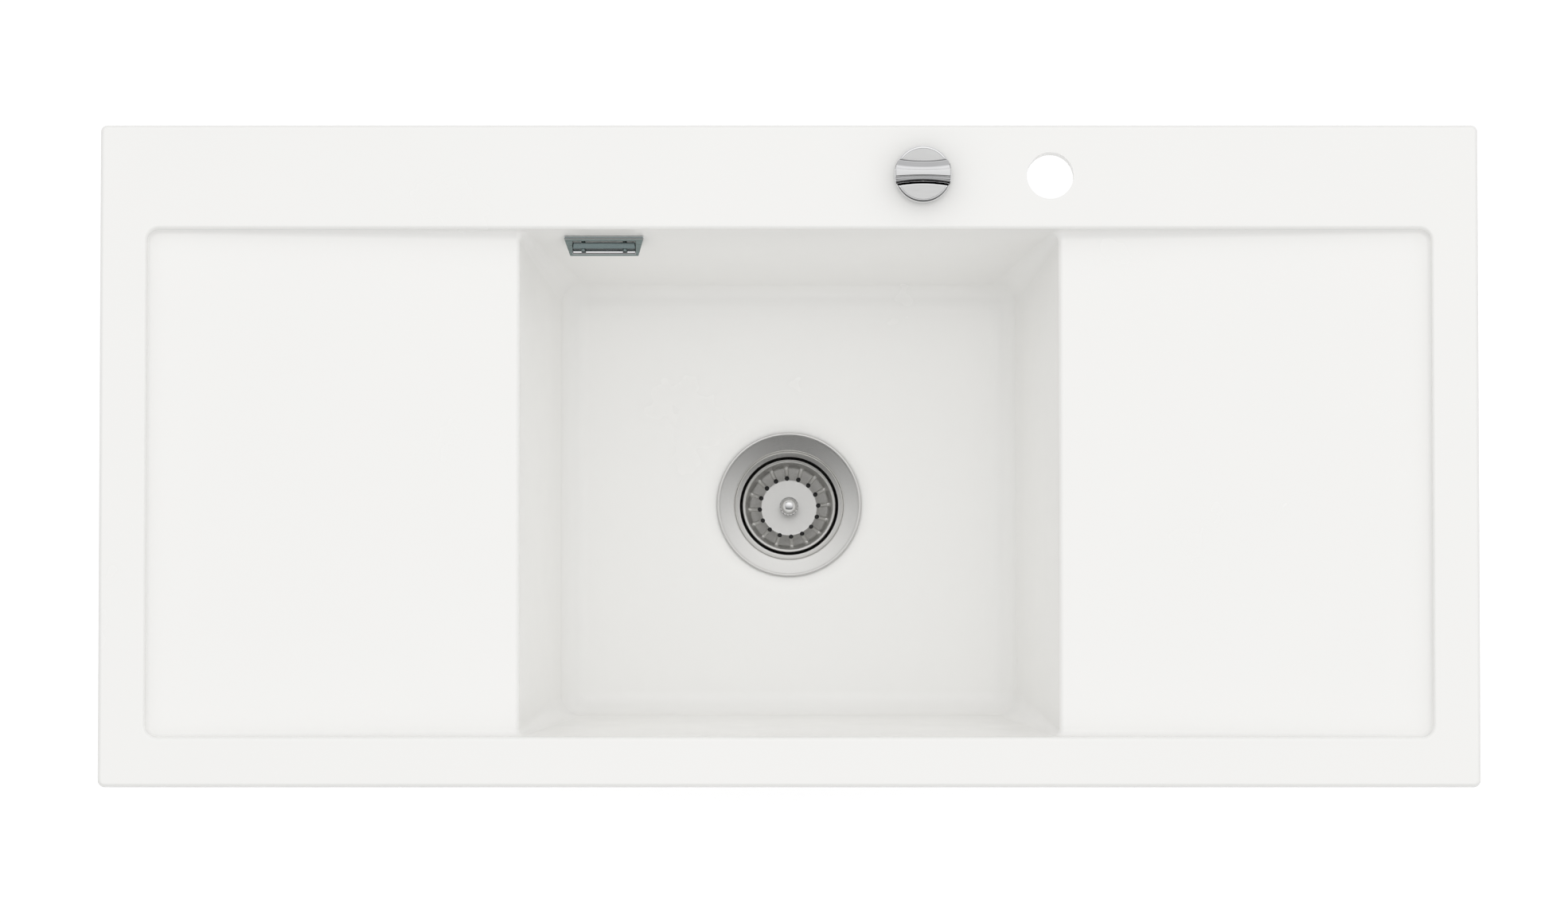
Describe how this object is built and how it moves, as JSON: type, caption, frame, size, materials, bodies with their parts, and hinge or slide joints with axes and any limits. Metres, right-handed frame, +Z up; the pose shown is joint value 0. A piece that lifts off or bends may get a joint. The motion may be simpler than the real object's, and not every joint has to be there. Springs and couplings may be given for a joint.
{
  "type": "kitchen sink with drainboard",
  "caption": "Inset ceramic kitchen sink with a central bowl between two sloping drainboards, basket strainer, rotary waste knob, tap hole and overflow.",
  "frame": {"origin": "centre of the worktop cut-out on the worktop's top surface, which is the underside of the rim", "axes": "+X along the sink's length to the right, +Y to the back where the tap hole is, +Z up"},
  "size_m": [1.06, 0.51, 0.328],
  "materials": {
    "fireclay": "gloss white glaze",
    "stainless": "satin",
    "chrome": "polished",
    "dark_steel": "polished dark",
    "rubber": "matte",
    "black_plastic": "moulded",
    "white_plastic": "moulded",
    "grey_hose": "ribbed hose",
    "brass": "turned"
  },
  "bodies": {
    "root": {"sink_basin": "fireclay", "overflow_bezel": "dark_steel", "overflow_slat": "dark_steel", "overflow_screws": "stainless", "overflow_gasket": "rubber", "overflow_elbow": "white_plastic", "overflow_hose": "grey_hose", "hose_top_nut": "white_plastic", "hose_bottom_nut": "white_plastic", "waste_flange": "stainless", "flange_gasket": "rubber", "body_gasket": "rubber", "waste_body": "white_plastic", "body_spider": "white_plastic", "outlet_tube": "white_plastic", "centre_screw": "stainless", "screw_insert": "brass", "shaft_seals": "rubber", "actuator_case": "black_plastic", "actuator_lid": "black_plastic", "actuator_screws": "stainless", "knob_collar": "chrome", "collar_gasket": "rubber", "deck_bushing": "brass", "deck_washer": "rubber", "deck_nut": "brass", "pull_case": "black_plastic", "pull_case_lid": "black_plastic", "upper_ferrule": "stainless", "lower_ferrule": "stainless", "cable_sheath": "black_plastic", "cable_wire": "stainless"},
    "knob": {"knob_cap": "chrome", "knob_grub_screw": "stainless", "knob_spindle": "stainless", "spindle_clip": "stainless"},
    "slider": {"pull_slider": "white_plastic", "slider_wire": "stainless"},
    "lever": {"lift_lever": "black_plastic", "lever_shaft": "stainless", "crank_arm": "stainless"},
    "pull_wire": {"wire_eye": "stainless"},
    "pin": {"lift_pin": "stainless"},
    "basket": {"strainer_basket": "stainless", "lift_ball": "chrome", "basket_post": "stainless", "basket_seal": "rubber", "basket_nut": "stainless"}
  },
  "joints": [
    {"name": "knob_turn", "type": "hinge", "parent": "root", "child": "knob", "pos_m": [0.103, 0.216, 0.02], "axis": [0, 0, 1], "range_deg": [0, 90]},
    {"name": "slider_lift", "type": "slide", "parent": "root", "child": "slider", "axis": [0, 0, 1], "range_m": [0, 0.0051]},
    {"name": "lever_turn", "type": "hinge", "parent": "root", "child": "lever", "pos_m": [0.00411, -0.00239, -0.25025], "axis": [-0.9824, 0.1868, 0], "range_deg": [0, 24.1]},
    {"name": "wire_pull", "type": "slide", "parent": "root", "child": "pull_wire", "axis": [0.1868, 0.9824, 0], "range_m": [0, 0.0051]},
    {"name": "pin_lift", "type": "slide", "parent": "root", "child": "pin", "axis": [0, 0, 1], "range_m": [0, 0.0093]},
    {"name": "basket_lift_out", "type": "slide", "parent": "pin", "child": "basket", "axis": [0, 0, 1], "range_m": [0, 0.24]}
  ],
  "couplings": [
    {"joint": "slider_lift", "follows": "knob_turn", "m_per_rad": 0.0032},
    {"joint": "lever_turn", "follows": "knob_turn", "ratio": 0.26667},
    {"joint": "wire_pull", "follows": "knob_turn", "m_per_rad": 0.0032},
    {"joint": "pin_lift", "follows": "knob_turn", "m_per_rad": 0.00587}
  ]
}
